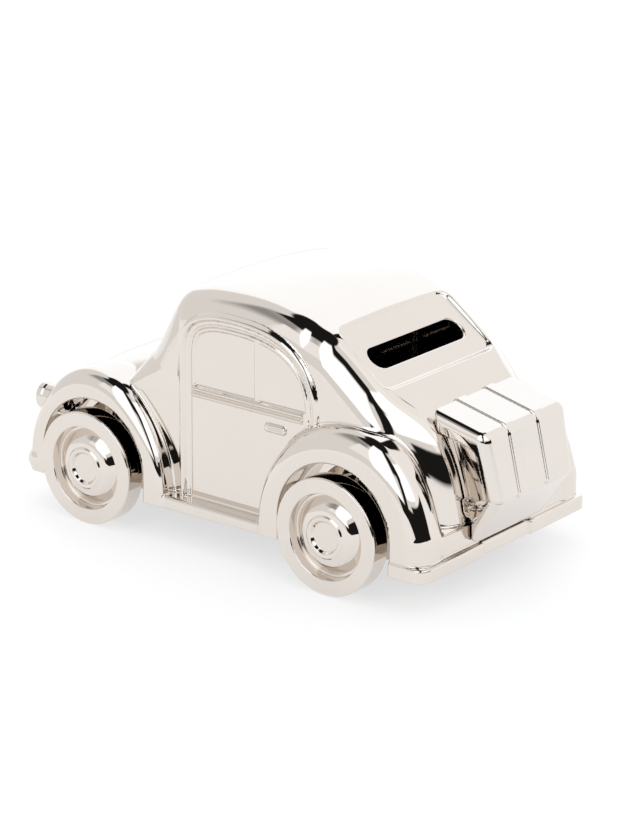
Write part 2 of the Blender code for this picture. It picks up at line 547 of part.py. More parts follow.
# ---- pull-back motor -------------------------------------------------------------
for side, sign in (("left", 1), ("right", -1)):
    y = sorted((sign * 0.15, sign * CASE_Y))
    room = sorted((sign * -2.0, sign * (CASE_Y - 1.6)))
    case = block(f"motor_case_{side}", (CASE_X0, CASE_X1), y, (CASE_Z0, CASE_Z1), helper=False, look=BLACK)
    lug_x = MOTOR_SCREWS[0 if sign > 0 else 1][0]
    lug = block(f"lug_{side}", (CASE_X1 - 0.6, lug_x + 2.8) if sign > 0 else (lug_x - 2.8, CASE_X0 + 0.6), sorted((sign * 1.2, sign * 7.8)), (CASE_Z0, 15.2))
    join(case, lug)
    cut(case, block(f"room_{side}", (CASE_X0 + 1.5, CASE_X1 - 1.5), room, (CASE_Z0 + 1.5, CASE_Z1 - 1.5)))
    cut(case, rod(f"case_axle_{side}", 2.1, (-14, 14), (REAR_X, 0, AXLE_Z), sides=16))
    cut(case, rod(f"case_idler_{side}", 1.3, (-14, 14), (IDLER_AT[0], 0, IDLER_AT[1]), sides=16))
    cut(case, rod(f"case_arbor_{side}", 1.8, (-14, 14), (SPRING_AT[0], 0, SPRING_AT[1]), sides=16))
    cut(case, rod(f"lug_pilot_{side}", 1.3, (8.0, 20.0), (*MOTOR_SCREWS[0 if sign > 0 else 1], 0), axis="Z", sides=16))
    if sign > 0:
        cut(case, block("gear_window", (REAR_X - 4.6, REAR_X + 4.6), (3.2, 7.8), (CASE_Z0 - 1.0, CASE_Z0 + 2.0)))


def gear_outline(teeth, phase, play=0.2):
    """A spur gear's outline, with a tooth centred on the angle phase."""
    pitch = MODULE * teeth / 2
    tip, root = pitch + MODULE * 0.92, pitch - MODULE * 1.2
    half_pitch = (math.pi * MODULE / 2 - play) / pitch / 2
    out = []
    for i in range(teeth):
        a = phase + 2 * math.pi * i / teeth
        for r, half in ((root, -half_pitch * 1.4), (tip, -half_pitch * 0.5), (tip, half_pitch * 0.5), (root, half_pitch * 1.4)):
            out.append((r * math.cos(a + half), r * math.sin(a + half)))
    return out


def gear(name, teeth, phase, y, centre, helper=False, look=None):
    """A gear between two y levels, its origin on its own axis at y = 0."""
    half = (y[1] - y[0]) / 2
    made = plate(name, gear_outline(teeth, phase), half, (centre[0], 0, centre[1]), helper=helper, look=look)
    made.data.transform(Matrix.Translation((0, (y[0] + y[1]) / 2 * MM, 0)))
    return made


axle_gear = gear("axle_gear", Z_AXLE, IDLER_DIR, (4.0, 7.0), (REAR_X, AXLE_Z), look=WHITE)
cut(axle_gear, rod("axle_gear_bore", AXLE_R + 0.2, (3, 8), (REAR_X, 0, AXLE_Z), sides=20))
idler = gear("idler_gear", Z_IDLER, IDLER_DIR + math.pi + math.pi / Z_IDLER, (4.3, 6.7), IDLER_AT, look=WHITE)
pinion = gear("idler_pinion", Z_PINION, SPRING_DIR, (0.3, 5.0), IDLER_AT, helper=True)
join(idler, pinion)
cut(idler, rod("idler_bore", 1.2, (-1, 8), (IDLER_AT[0], 0, IDLER_AT[1]), sides=16))
spring_gear = gear("spring_gear", Z_SPRING, SPRING_DIR + math.pi + math.pi / Z_SPRING, (0.6, 3.0), SPRING_AT, look=WHITE)
arbor = rod("arbor", 1.5, (-11.6, 11.6), (SPRING_AT[0], 0, SPRING_AT[1]), sides=20)
join(spring_gear, arbor)
rod("idler_shaft", 0.9, (-11.8, 11.8), (IDLER_AT[0], 0, IDLER_AT[1]), sides=16, helper=False, look=STEEL)

# Mainspring: a flat strip wound round the arbor, clear of it and of the case
TURNS, R_IN, R_OUT, THICK = 4.5, 2.3, 8.3, 0.45
steps = 72
inner_side, outer_side = [], []
for i in range(steps + 1):
    a = 2 * math.pi * TURNS * i / steps
    r = R_IN + (R_OUT - R_IN) * i / steps
    inner_side.append((r * math.cos(a), r * math.sin(a)))
    outer_side.append(((r + THICK) * math.cos(a), (r + THICK) * math.sin(a)))
coil = plate("mainspring", inner_side + outer_side[::-1], 3.6, (SPRING_AT[0], 0, SPRING_AT[1]), helper=False, look=SPRING)
coil.data.transform(Matrix.Translation((0, -5.4 * MM, 0)))

# Plain pieces get their looks once they are whole
for obj in PARTS.objects:
    if not obj.data.materials:
        obj.data.materials.append(PLATED)
    obj.data.shade_smooth()
    obj.data.set_sharp_from_angle(angle=math.radians(32))
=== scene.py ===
"""The looks of a mirror-plated toy car money bank with a pull-back motor."""

import json
import math

import bmesh
import bpy
import numpy as np
from mathutils import Matrix, Vector

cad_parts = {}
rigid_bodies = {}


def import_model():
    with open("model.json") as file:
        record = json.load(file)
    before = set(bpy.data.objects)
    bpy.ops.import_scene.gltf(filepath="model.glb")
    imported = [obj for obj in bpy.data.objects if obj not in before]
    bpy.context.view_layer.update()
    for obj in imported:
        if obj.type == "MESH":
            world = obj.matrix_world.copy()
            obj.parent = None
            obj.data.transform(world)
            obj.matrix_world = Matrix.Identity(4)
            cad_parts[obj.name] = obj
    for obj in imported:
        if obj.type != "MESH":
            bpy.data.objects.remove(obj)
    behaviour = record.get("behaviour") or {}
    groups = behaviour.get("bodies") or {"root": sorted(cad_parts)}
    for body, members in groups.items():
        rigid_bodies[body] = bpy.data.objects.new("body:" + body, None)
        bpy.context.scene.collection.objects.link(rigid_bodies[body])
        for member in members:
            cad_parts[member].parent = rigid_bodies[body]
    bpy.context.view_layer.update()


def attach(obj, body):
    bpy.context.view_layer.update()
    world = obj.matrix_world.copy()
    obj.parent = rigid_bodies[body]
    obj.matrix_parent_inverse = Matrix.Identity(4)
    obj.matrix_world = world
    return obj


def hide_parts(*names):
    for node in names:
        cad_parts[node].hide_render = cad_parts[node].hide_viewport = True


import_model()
MM = 0.001

# ---------------------------------------------------------------- camera
# Lengths below are millimetres in the frame: +X front, +Y left side, +Z up.
EYE = Vector((-450.9, 571.7, 277.6)) * MM
YAW, PITCH, ROLL = math.radians(-51.657), math.radians(18.812), math.radians(-0.258)
FOCAL_PX = 3014.25


def make_camera():
    data = bpy.data.cameras.new("camera")
    cam = bpy.data.objects.new("camera", data)
    bpy.context.scene.collection.objects.link(cam)
    fwd = Vector((math.cos(YAW) * math.cos(PITCH), math.sin(YAW) * math.cos(PITCH), -math.sin(PITCH)))
    right = Vector((math.sin(YAW), -math.cos(YAW), 0.0))
    down = fwd.cross(right)
    r2 = right * math.cos(ROLL) + down * math.sin(ROLL)
    d2 = down * math.cos(ROLL) - right * math.sin(ROLL)
    turn = Matrix((r2, -d2, -fwd)).transposed()
    cam.matrix_world = Matrix.Translation(EYE) @ turn.to_4x4()
    data.sensor_fit = "VERTICAL"
    data.sensor_height = 36.0
    data.lens = FOCAL_PX / 827.0 * 36.0
    data.clip_start, data.clip_end = 0.05, 20.0
    bpy.context.scene.camera = cam
    return cam


make_camera()


# ---------------------------------------------------------------- distance fields
def rmax(a, b, r):
    """Both, with a round edge of radius r."""
    return np.minimum(-r, np.maximum(a, b)) + np.sqrt(np.maximum(r + a, 0) ** 2 + np.maximum(r + b, 0) ** 2)


def rmin(a, b, r):
    """Either, with a round fillet of radius r where they meet."""
    return -rmax(-a, -b, r)


def smin(a, b, k):
    h = np.maximum(k - np.abs(a - b), 0) / k
    return np.minimum(a, b) - h * h * h * k / 6


def step(x, a, b):
    t = np.clip((x - a) / (b - a), 0, 1)
    return t * t * (3 - 2 * t)


def bump(d, half, height):
    """A rounded bead: height at d = 0, nothing past half."""
    t = np.clip(np.abs(d) / half, 0, 1)
    return height * (1 - t * t) ** 2 * (1 + t * t)


def spline(points, n):
    """n points on a natural cubic spline through the points."""
    p = np.array(points, float)
    s = np.concatenate([[0], np.cumsum(np.hypot(*np.diff(p, axis=0).T))])
    m = len(p)
    h = np.diff(s)
    A = np.zeros((m, m))
    rhs = np.zeros((m, 2))
    A[0, 0] = A[-1, -1] = 1
    for i in range(1, m - 1):
        A[i, i - 1], A[i, i], A[i, i + 1] = h[i - 1], 2 * (h[i - 1] + h[i]), h[i]
        rhs[i] = 6 * ((p[i + 1] - p[i]) / h[i] - (p[i] - p[i - 1]) / h[i - 1])
    M = np.linalg.solve(A, rhs)
    t = np.linspace(0, s[-1], n)
    i = np.clip(np.searchsorted(s, t, side="right") - 1, 0, m - 2)
    a, b = (s[i + 1] - t)[:, None], (t - s[i])[:, None]
    hi = h[i][:, None]
    return (
        M[i] * a**3 / (6 * hi)
        + M[i + 1] * b**3 / (6 * hi)
        + (p[i] / hi - M[i] * hi / 6) * a
        + (p[i + 1] / hi - M[i + 1] * hi / 6) * b
    )


def rounded(points, closed=False, parts=6):
    """A polyline whose corners are arcs of the given radii. Each point comes
    back with the normal on the line's left."""
    n = len(points)
    out = []
    for i, p in enumerate(points):
        x, y = p[0], p[1]
        r = p[2] if len(p) > 2 else 0.0
        if not closed and i in (0, n - 1):
            q = points[1] if i == 0 else points[n - 2]
            dx, dy = (q[0] - x, q[1] - y) if i == 0 else (x - q[0], y - q[1])
            length = math.hypot(dx, dy)
            out.append((x, y, -dy / length, dx / length))
            continue
        a, b = points[i - 1], points[(i + 1) % n]
        la, lb = math.hypot(x - a[0], y - a[1]), math.hypot(b[0] - x, b[1] - y)
        t1 = ((x - a[0]) / la, (y - a[1]) / la)
        t2 = ((b[0] - x) / lb, (b[1] - y) / lb)
        turn = math.atan2(t1[0] * t2[1] - t1[1] * t2[0], t1[0] * t2[0] + t1[1] * t2[1])
        reach = r * math.tan(abs(turn) / 2)
        if reach > 0.48 * min(la, lb):
            reach = 0.48 * min(la, lb)
            r = reach / math.tan(abs(turn) / 2)
        side = 1 if turn > 0 else -1
        sx, sy = x - t1[0] * reach, y - t1[1] * reach
        cx, cy = sx - side * r * t1[1], sy + side * r * t1[0]
        first = math.atan2(t1[1], t1[0])
        count = max(2, int(parts * abs(turn) / 1.2) + 1)
        for k in range(count + 1):
            ang = first + turn * k / count
            nx, ny = -math.sin(ang), math.cos(ang)
            out.append((cx - side * r * nx, cy - side * r * ny, nx, ny))
    return out


class Profile:
    """Signed distance to a closed outline in a plane, tabulated once and read
    back with bicubic interpolation."""

    def __init__(self, outline, cell=0.25, pad=9.0):
        q = np.array(outline, float)
        self.low = q.min(0) - pad
        n = np.ceil((q.max(0) + pad - self.low) / cell).astype(int) + 1
        self.cell, self.n = cell, n
        u = self.low[0] + cell * np.arange(n[0])[:, None]
        v = self.low[1] + cell * np.arange(n[1])[None, :]
        best = np.full(tuple(n), 1e9)
        inside = np.zeros(tuple(n), bool)
        for (x0, y0), (x1, y1) in zip(q, np.roll(q, -1, axis=0)):
            dx, dy = x1 - x0, y1 - y0
            length = dx * dx + dy * dy
            if length < 1e-12:
                continue
            t = np.clip(((u - x0) * dx + (v - y0) * dy) / length, 0, 1)
            best = np.minimum(best, (u - x0 - t * dx) ** 2 + (v - y0 - t * dy) ** 2)
            if y0 != y1:
                crosses = ((y0 > v) != (y1 > v)) & (u < (x1 - x0) * (v - y0) / (y1 - y0) + x0)
                inside ^= crosses
        self.table = (np.sqrt(best) * np.where(inside, -1, 1)).astype(np.float32)

    def __call__(self, x, z):
        x, z = np.broadcast_arrays(x, z)
        fu = (x - self.low[0]) / self.cell
        fv = (z - self.low[1]) / self.cell
        cu = np.clip(fu, 1.0, self.n[0] - 2.001)
        cv = np.clip(fv, 1.0, self.n[1] - 2.001)
        extra = np.hypot(fu - cu, fv - cv) * self.cell
        i, j = cu.astype(np.int32), cv.astype(np.int32)
        a, b = cu - i, cv - j

        def weights(t):
            return (
                ((-0.5 * t + 1) * t - 0.5) * t,
                (1.5 * t - 2.5) * t * t + 1,
                ((-1.5 * t + 2) * t + 0.5) * t,
                (0.5 * t - 0.5) * t * t,
            )

        wa, wb = weights(a), weights(b)
        out = 0
        for k in range(4):
            row = 0
            for m in range(4):
                row = row + self.table[i + k - 1, j + m - 1] * wb[m]
            out = out + row * wa[k]
        return out + extra


def surface_nets(F, origin, h):
    """Quads over the zero level of F, which is negative inside."""
    nx, ny, nz = F.shape
    s = F < 0
    corners = np.zeros((nx - 1, ny - 1, nz - 1), np.uint8)
    for a in (0, 1):
        for b in (0, 1):
            for c in (0, 1):
                corners += s[a : nx - 1 + a, b : ny - 1 + b, c : nz - 1 + c]
    active = (corners > 0) & (corners < 8)
    ids = np.full(active.shape, -1, np.int64)
    cell = np.argwhere(active)
    ids[active] = np.arange(len(cell))
    total = np.zeros((len(cell), 3))
    count = np.zeros(len(cell))
    for axis in range(3):
        for a in (0, 1):
            for b in (0, 1):
                o0 = [0, 0, 0]
                others = [k for k in range(3) if k != axis]
                o0[others[0]], o0[others[1]] = a, b
                o1 = list(o0)
                o1[axis] = 1
                p0, p1 = cell + o0, cell + o1
                f0 = F[p0[:, 0], p0[:, 1], p0[:, 2]]
                f1 = F[p1[:, 0], p1[:, 1], p1[:, 2]]
                hit = (f0 < 0) != (f1 < 0)
                t = np.where(hit, f0 / np.where(hit, f0 - f1, 1), 0)
                at = p0.astype(float)
                at[:, axis] += t
                total[hit] += at[hit]
                count[hit] += 1
    verts = total / count[:, None] * h + np.array(origin)
    quads = []
    for axis in range(3):
        others = [k for k in range(3) if k != axis]
        sl0, sl1 = [slice(None)] * 3, [slice(None)] * 3
        sl0[axis], sl1[axis] = slice(0, -1), slice(1, None)
        for k in others:
            sl0[k] = sl1[k] = slice(1, -1)
        f0, f1 = s[tuple(sl0)], s[tuple(sl1)]
        change = np.argwhere(f0 != f1)
        if not len(change):
            continue
        lead = f0[change[:, 0], change[:, 1], change[:, 2]]
        base = change.copy()
        for k in others:
            base[:, k] += 1

        def cell_id(da, db):
            q = base.copy()
            q[:, others[0]] += da
            q[:, others[1]] += db
            return ids[q[:, 0], q[:, 1], q[:, 2]]

        ring = np.stack([cell_id(-1, -1), cell_id(0, -1), cell_id(0, 0), cell_id(-1, 0)], 1)
        flip = lead if axis != 1 else ~lead
        ring[~flip] = ring[~flip][:, ::-1]
        quads.append(ring)
    return verts, np.concatenate(quads)


def gradient(field, p, eps):
    g = np.empty_like(p)
    for k in range(3):
        d = np.zeros(3)
        d[k] = eps
        g[:, k] = (field(*(p + d).T) - field(*(p - d).T)) / (2 * eps)
    return g


def settle(field, verts, quads, h, rounds=3):
    """Evens the points out along the surface and sets them on the zero level."""
    edges = np.unique(np.sort(np.concatenate([quads[:, [0, 1]], quads[:, [1, 2]], quads[:, [2, 3]], quads[:, [3, 0]]]), axis=1), axis=0)
    n = len(verts)
    ends = np.concatenate([edges[:, 0], edges[:, 1]])
    other = np.concatenate([edges[:, 1], edges[:, 0]])
    degree = np.maximum(np.bincount(ends, minlength=n), 1)[:, None]
    g = None
    for i in range(rounds):
        if i < rounds - 1 or g is None:
            mean = np.stack([np.bincount(ends, weights=verts[other, k], minlength=n) for k in range(3)], 1) / degree
            verts = verts + 0.5 * (mean - verts)
        for _ in range(2 if i == rounds - 1 else 1):
            g = gradient(field, verts, 0.06)
            f = field(*verts.T)
            size = np.maximum((g * g).sum(1), 0.05)
            move = -(f / size)[:, None] * g
            length = np.linalg.norm(move, axis=1, keepdims=True)
            verts = verts + move * np.minimum(1, 0.6 * h / np.maximum(length, 1e-9))
    g = gradient(field, verts, 0.10)
    normals = g / np.maximum(np.linalg.norm(g, axis=1, keepdims=True), 1e-9)
    return verts, normals


def mesh_of(name, field, low, high, h, mirror=True, rounds=3):
    """An object from the field's zero level. With mirror, the field is even in
    y and only its left half is worked out."""
    nx = int(math.ceil((high[0] - low[0]) / h)) + 1
    nz = int(math.ceil((high[2] - low[2]) / h)) + 1
    x = low[0] + h * np.arange(nx)
    z = low[2] + h * np.arange(nz)
    ny = int(math.ceil(high[1] / h)) + 1
    y = h * (np.arange(ny) + 0.5)
    F = np.empty((nx, ny, nz), np.float32)
    for i in range(0, nx, 24):
        F[i : i + 24] = field(x[i : i + 24, None, None], y[None, :, None], z[None, None, :])
    F = np.concatenate([F[:, ::-1], F], axis=1)
    F[np.abs(F) < 1e-5] = 1e-5
    verts, quads = surface_nets(F, (x[0], -y[-1], z[0]), h)
    verts, normals = settle(field, verts, quads, h, rounds)
    mesh = bpy.data.meshes.new(name)
    mesh.vertices.add(len(verts))
    mesh.vertices.foreach_set("co", (verts * MM).astype(np.float32).ravel())
    mesh.loops.add(len(quads) * 4)
    mesh.loops.foreach_set("vertex_index", quads.astype(np.int32).ravel())
    mesh.polygons.add(len(quads))
    mesh.polygons.foreach_set("loop_start", np.arange(0, len(quads) * 4, 4, dtype=np.int32))
    mesh.update(calc_edges=True)
    mesh.validate()
    mesh.shade_smooth()
    mesh.normals_split_custom_set_from_vertices(normals.astype(np.float32).tolist())
    obj = bpy.data.objects.new(name, mesh)
    bpy.context.scene.collection.objects.link(obj)
    return obj


# ---------------------------------------------------------------- body shape
SIDE_Y, FENDER_Y, FLOOR_Z = 29.7, 34.8, 8.7
FRONT_X, REAR_X, AXLE_Z = 45.1, -33.1, 15.0
ARCH_R, ARCH_Z = 17.15, 15.57
PANEL_TOP, PANEL_END = (-23.4, 62.4), (-40.2, 49.7)
SLOPE = math.atan2(PANEL_TOP[1] - PANEL_END[1], PANEL_TOP[0] - PANEL_END[0])
SLOT_AT, SLOT_L, SLOT_W = (-32.5, 55.5), 36.6, 6.5

cabin_line = np.concatenate(
    [
        [(38.0, 30.0), (36.4, 40.0)],
        spline([(34.4, 44.6), (31.9, 49.0), (29.2, 54.7), (26.9, 59.6), (24.6, 63.0), (20.8, 65.5), (14.5, 67.4), (6.0, 68.2), (-2.0, 68.25), (-9.0, 67.6), (-15.5, 66.2), (-20.5, 64.2), (-25.0, 61.6), (-31.5, 56.9), (-38.0, 51.7), (-42.5, 48.2), (-48.6, 43.7), (-52.2, 39.6), (-55.0, 34.6), (-57.0, 28.6), (-58.2, 22.0), (-58.7, 15.0)], 360),
        [(-58.9, 4.0), (38.0, 4.0)],
    ]
)
hood_line = np.concatenate(
    [
        [(-20.0, 4.0), (-20.0, 47.0)],
        spline([(16.0, 48.0), (27.0, 47.0), (36.0, 45.2), (45.0, 42.6), (53.0, 39.3), (59.5, 35.5), (63.8, 31.2), (66.0, 26.2), (66.8, 20.0), (67.0, 13.0)], 200),
        [(67.0, 4.0)],
    ]
)
front_fender_line = np.concatenate(
    [
        [(21.6, 4.0)],
        spline([(21.6, 13.0), (22.6, 19.0), (25.4, 25.6), (30.0, 32.2), (36.4, 37.6), (44.0, 40.0), (51.5, 39.3), (58.4, 35.2), (63.4, 28.8), (66.3, 21.5), (67.2, 14.0)], 220),
        [(67.2, 4.0)],
    ]
)
rear_fender_line = np.concatenate(
    [
        [(-9.2, 4.0)],
        spline([(-9.2, 13.0), (-10.2, 21.5), (-13.3, 29.8), (-18.9, 36.6), (-26.8, 40.9), (-35.8, 42.2), (-44.4, 40.4), (-51.2, 35.4), (-56.0, 28.4), (-59.2, 19.6)], 220),
        [(-59.6, 18.6), (-59.6, 4.0)],
    ]
)
door_out = np.concatenate([[(19.3, 5.0)], spline([(19.3, 47.0), (18.9, 53.2), (16.6, 58.1), (11.4, 61.0), (3.0, 61.9), (-5.0, 61.5), (-12.8, 59.6), (-18.9, 56.0), (-23.1, 50.7), (-25.0, 44.3), (-25.2, 36.0)], 160), [(-25.2, 5.0)]])
cabin_p, hood_p = Profile(cabin_line), Profile(hood_line)
front_fender_p, rear_fender_p = Profile(front_fender_line), Profile(rear_fender_line)
door_p = Profile(door_out, pad=12.0)


def side_relief(x, z):
    """Height of the mouldings on the body's side, above its flat plane."""
    d = door_p(x, z)  # negative inside the door arch
    h = bump(d + 1.0, 1.2, 1.1)  # the arch bead
    h = h - 0.40 * step(-d, 2.7, 3.15) + 0.40 * step(-d, 3.45, 3.9)  # the shut line's trough
    above = step(z, 11.0, 12.6)
    h = h * above
    # panes fill the arch above the belt, with one rib between them
    sunk = 0.55 * step(-d, 4.3, 4.95) * step(z, 41.5, 42.1) * step(np.abs(x + 5.4), 0.5, 1.15)
    h = h - sunk
    # belt rails and their ends
    across = step(x, -20.3, -19.7) * (1 - step(x, 14.9, 15.5))
    h = h + (bump(z - 40.95, 0.72, 0.75) + bump(z - 39.45, 0.72, 0.75)) * across
    # door handle: a pill with a raised rim
    pill = np.hypot(np.maximum(np.abs(x + 11.6) - 2.4, 0), z - 35.9) - 1.1
    h = h + 0.75 * (1 - step(pill, -0.5, 0.2)) - 0.3 * (1 - step(pill, -1.05, -0.6))
    return h


def body_field(x, y, z):
    y = np.abs(y)
    # cabin and tail
    back = step(-x, 37.0, 57.0)
    crown = (1.25 - 1.15 * step(-x, 19.0, 27.0) - 0.6 * step(x, 16.0, 27.0)) * (y / 22.0) ** 2
    cabin = cabin_p(x, z + crown)
    # hood, falling away to the cowl's crease
    fall = (9.3 - 5.0 * step(x, 34.0, 60.0)) * (y / SIDE_Y) ** 2.6
    hood = np.maximum(hood_p(x, z + fall) * 0.97, 2.0 - x)
    above = np.where(x > 2.0, step(hood, 0.3, 5.5), 1.0)
    crease = 36.5 + 3.7 * step(-x, -36.0, -21.0)
    half = SIDE_Y - 5.6 * back - 3.4 * step(x, 40.0, 66.0) - 0.16 * np.maximum(z - crease, 0) * step(x, 19.4, 21.0)
    main = rmax(rmin(cabin, hood, 2.6), y - half, 0.7 + (6.9 + 1.1 * step(-x, 18.0, 30.0) + 1.6 * back) * above)
    # rear window panel, let into the tail
    u = (x - PANEL_END[0]) * math.cos(SLOPE) + (z - PANEL_END[1]) * math.sin(SLOPE)
    v = -(x - PANEL_END[0]) * math.sin(SLOPE) + (z - PANEL_END[1]) * math.cos(SLOPE)
    long = math.hypot(PANEL_TOP[0] - PANEL_END[0], PANEL_TOP[1] - PANEL_END[1])
    edge = rmax(np.maximum(0.3 - u, u - (long - 0.6)), y - 22.6 + 0.035 * np.maximum(u, 0), 3.0)
    slot = np.hypot(np.maximum(y - (SLOT_L - SLOT_W) / 2, 0), u - ((SLOT_AT[0] - PANEL_END[0]) * math.cos(SLOPE) + (SLOT_AT[1] - PANEL_END[1]) * math.sin(SLOPE))) - SLOT_W / 2
    pocket = rmax(-0.75 - v, edge, 0.9)
    d = np.where(np.abs(v) < 8.0, rmax(main, -pocket, 0.6), main)
    # side mouldings, only where the side is flat
    d = d - side_relief(x, z) * step(y, 24.0, 27.0)
    # fenders: thick arches with rounded edges
    round_f = 1.6 + 3.0 * step(z, 14.0, 34.0)
    ff = rmax(rmax(front_fender_p(x, z), y - FENDER_Y, round_f), 21.0 - y, 3.0)
    d = rmin(d, ff, 0.7)
    round_r = 1.7 + 2.9 * np.maximum(step(z, 14.0, 34.0), step(-x, 38.0, 50.0))
    droop = 1.7 * (np.maximum(y - 26.0, 0) / 8.0) ** 2 * step(z, 24.0, 38.0)
    rf = rmax(rmax(rear_fender_p(x, z + droop), y - FENDER_Y, round_r), 23.0 - y, 4.4)
    d = rmin(d, rf, 0.7)
    # running board
    board = rmax(rmax(y - 34.2, z - 12.0, 1.0), np.abs(x - 6.5) - 22.0, 0.8)
    d = rmin(d, board, 0.5)
    # rear apron and bumper lip, in three lengths
    mid = 0.7 * (1 - step(y, 9.6, 10.1))
    apron = rmax(rmax(y - 33.9, -59.4 + mid - x, 3.2), z - 17.9, 0.6)
    apron = np.maximum(apron, x + 45.0)
    d = rmin(d, apron, 0.5)
    lip = rmax(rmax(y - 35.3, -60.9 + mid - x, 3.4), z - 12.1, 0.7)
    lip = np.maximum(lip, x + 46.0)
    d = rmin(d, lip, 0.35)
    d = d + bump(y - 9.85, 0.5, 0.25) * step(-x, 57.0, 58.5)
    # half-round front bumper
    bar = np.sqrt(np.maximum(y - 32.2, 0) ** 2 + (x - 67.0 + 0.0011 * y * y) ** 2 + (z - 11.8) ** 2) - 3.2
    d = rmin(d, bar, 0.8)
    # lower rim
    rise = 0.5 * step(-x, -16.0, 17.0) * (1 - step(-x, 19.0, 25.0)) - 0.35 * step(-x, 44.0, 54.0)
    d = rmax(d, FLOOR_Z + rise - z, 0.35)
    # wheel wells
    for cx in (FRONT_X, REAR_X):
        ring = np.hypot(x - cx, z - ARCH_Z) - ARCH_R
        below = np.maximum(np.abs(x - cx) - ARCH_R, z - ARCH_Z)
        well = rmax(np.minimum(ring, below), 27.4 - y, 0.6)
        d = rmax(d, -well, 0.45)
    # hollow inside
    wide = 25.4 + 2.0 * step(x, -14.0, -11.0) * (1 - step(x, 22.0, 25.0))
    room = rmax(main + 2.4, y - np.minimum(wide, half - 2.3), 3.0)
    room = np.maximum(room, np.maximum(x - 63.6, -56.2 - x))
    d = np.maximum(d, -room)
    # screw posts
    for px, py, top in ((58.0, 15.0, 34.4), (-50.4, 17.0, 39.0)):
        r = np.hypot(x - px, y - py)
        d = rmin(d, np.maximum(r - 3.1, np.maximum(np.maximum(13.7 - z, z - top), main + 1.2)), 0.3)
        d = np.maximum(d, -np.maximum(r - 1.55, z - 23.0))
    # pads for the trunk's screws
    r = np.hypot(y - 8.0, z - 27.0)
    d = np.minimum(d, np.maximum(r - 3.6, np.maximum(x + 52.6, -57.0 - x)))
    d = np.maximum(d, -np.maximum(r - 1.6, np.maximum(x + 48.0, -62.0 - x)))
    # axle slots through the wells' inner walls
    for cx in (FRONT_X, REAR_X):
        slit = np.minimum(np.hypot(x - cx, z - AXLE_Z) - 2.1, np.maximum(np.abs(x - cx) - 2.1, z - AXLE_Z))
        d = np.maximum(d, -np.maximum(slit, y - 30.0))
    # the coin slot
    hole = np.maximum(slot, np.abs(v) - 9.0)
    d = rmax(d, -hole, 0.5)
    # head lamp seats
    seat = np.maximum(np.hypot(y - 29.0, z - 28.3) - 4.1, 57.7 - x)
    d = np.maximum(d, -seat)
    return d


# ---------------------------------------------------------------- luggage trunk
TRUNK_Y = 17.5
TRUNK_OUT = rounded([(-49.5, 45.9, 0.5), (-65.1, 42.3, 3.4), (-69.1, 25.8, 1.2), (-61.2, 13.4, 0.6), (-59.5, 13.4, 0.2), (-59.5, 19.0, 0.2), (-49.5, 19.0, 0.2)], True)
trunk_p = Profile([p[:2] for p in TRUNK_OUT])
inset_p = Profile([p[:2] for p in rounded([(-40.0, 42.4, 0.3), (-61.9, 38.2, 4.0), (-65.3, 25.2, 0.8), (-62.0, 24.4, 0.5), (-40.0, 24.4, 0.3)], True)])


def trunk_field(x, y, z):
    y = np.abs(y)
    side = trunk_p(x, z)
    # a side wall let in behind a rim
    flank = y - TRUNK_Y + 1.0 * (1 - step(inset_p(x, z), -0.35, 0.35)) + 0.075 * np.maximum(42.0 - z, 0)
    # straps with a fine step on each edge, over the lid only
    lid = step(z, 24.6, 25.1)
    strap = 0.45 * (1 - step(np.abs(y - 6.0), 1.6, 2.05)) * lid
    seam = 0.22 * (1 - step(np.abs(z - 25.5 + 0.5 * (1 - step(np.abs(y - 6.0), 1.7, 2.0))), 0.1, 0.4)) * step(-x, 64.0, 66.0)
    d = rmax(side - strap + seam, flank, 2.6)
    # the front follows the tail with a thin gap
    back = step(-x, 37.0, 57.0)
    tail = rmax(cabin_p(x, z + 1.25 * (y / 22.0) ** 2 * 0.3), y - (SIDE_Y - 5.6 * back), 7.6 + 2.2 * back)
    d = rmax(d, 0.35 - tail, 0.25)
    apron = np.maximum(z - 18.3, -59.5 - x)
    d = np.maximum(d, -apron)
    # hollow, open at the front
    room = rmax(side + 2.2, y - TRUNK_Y + 4.6, 0.8)
    d = np.maximum(d, -np.maximum(room, 18.6 - z))
    boss = np.maximum(np.hypot(y - 8.0, z - 27.0) - 3.0, np.maximum(-67.6 - x, x + 58.1))
    d = np.minimum(d, np.maximum(boss, side + 0.5))
    pilot = np.maximum(np.hypot(y - 8.0, z - 27.0) - 1.55, -65.6 - x)
    return np.maximum(d, -pilot)


H = 0.42
FINE = 0.28


